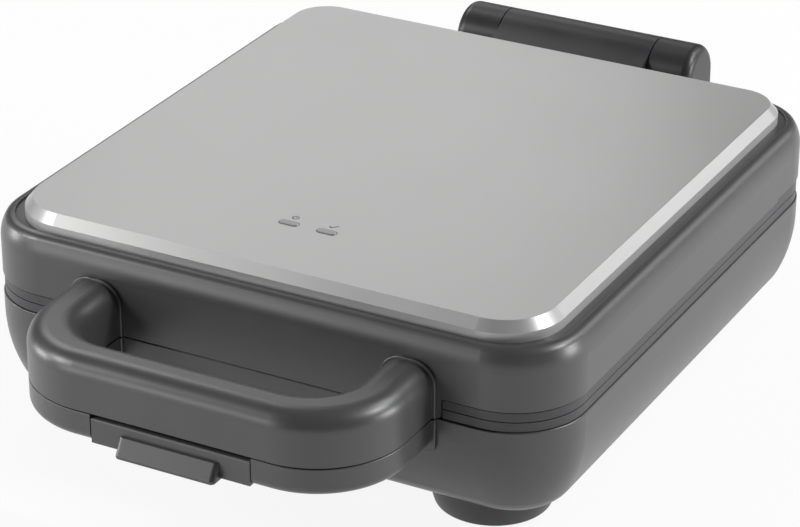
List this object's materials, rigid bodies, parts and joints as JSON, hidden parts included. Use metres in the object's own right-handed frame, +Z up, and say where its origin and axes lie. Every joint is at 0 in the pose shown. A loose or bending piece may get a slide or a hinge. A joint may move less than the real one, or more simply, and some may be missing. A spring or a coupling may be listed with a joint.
{
  "type": "sandwich maker",
  "caption": "Countertop sandwich maker with a hinged lid, bevelled metal cover, U-shaped handle with a swing latch, and cast plates with triangular sandwich pockets.",
  "frame": {"origin": "on the table under the middle of the whole outline, with the lid closed", "axes": "+Z up, +Y from the handle to the hinge, +X to the right as seen from the handle"},
  "size_m": [0.2646, 0.3876, 0.0974],
  "materials": {
    "body": "satin dark grey moulded plastic with a faint metallic sheen",
    "hinge": "satin charcoal moulded plastic",
    "foot": "satin charcoal moulded plastic",
    "rim": "fine matt dark grey heat-resistant plastic",
    "cover": "satin light grey sheet metal",
    "lens": "smooth silver-grey light guide",
    "plate": "cast aluminium with a dark non-stick coating",
    "element": "dull steel sheath",
    "shield": "bright rolled sheet",
    "steel": "zinc-plated steel",
    "sleeve": "woven glass sleeve",
    "wire": "silicone insulation",
    "ceramic": "fired pale ceramic",
    "board": "phenolic board",
    "lamp": "small neon lamp",
    "gland": "black moulded rubber",
    "pad": "matt black soft rubber"
  },
  "bodies": {
    "base": {"base_shell": "body", "base_rim_frame": "rim", "lower_cooking_plate": "plate", "lower_heating_element": "element", "lower_heat_shield": "shield", "lower_plate_screws": "steel", "thermostat": "ceramic", "terminal_block": "ceramic", "base_wiring": "wire", "cord_gland": "gland", "lower_handle": "body", "lower_handle_screws": "steel", "left_hinge_knuckle": "hinge", "right_hinge_knuckle": "hinge", "knuckle_screws": "steel", "hinge_pin": "steel", "foot_pads": "pad", "base_screws": "steel", "front_left_foot": "foot", "front_right_foot": "foot", "rear_left_foot": "foot", "rear_right_foot": "foot"},
    "lid": {"lid_shell": "body", "lid_cover": "cover", "power_lens": "lens", "ready_lens": "lens", "lamp_board": "board", "indicator_lamps": "lamp", "lid_rim_frame": "rim", "lid_screws": "steel", "upper_cooking_plate": "plate", "upper_heating_element": "element", "upper_heat_shield": "shield", "upper_plate_screws": "steel", "thermal_fuse": "sleeve", "lid_wiring": "wire", "upper_handle": "body", "upper_handle_screws": "steel", "lid_hinge_arm": "hinge", "hinge_arm_screws": "steel", "latch_pin": "steel"},
    "latch": {"latch": "body"}
  },
  "joints": [
    {"name": "lid_hinge", "type": "hinge", "parent": "base", "child": "lid", "pos_m": [0, 0.1788, 0.0766], "axis": [-1, 0, 0], "range_deg": [0, 105]},
    {"name": "latch_swing", "type": "hinge", "parent": "lid", "child": "latch", "pos_m": [0, -0.1828, 0.0504], "axis": [-1, 0, 0], "range_deg": [-10, 16]}
  ]
}
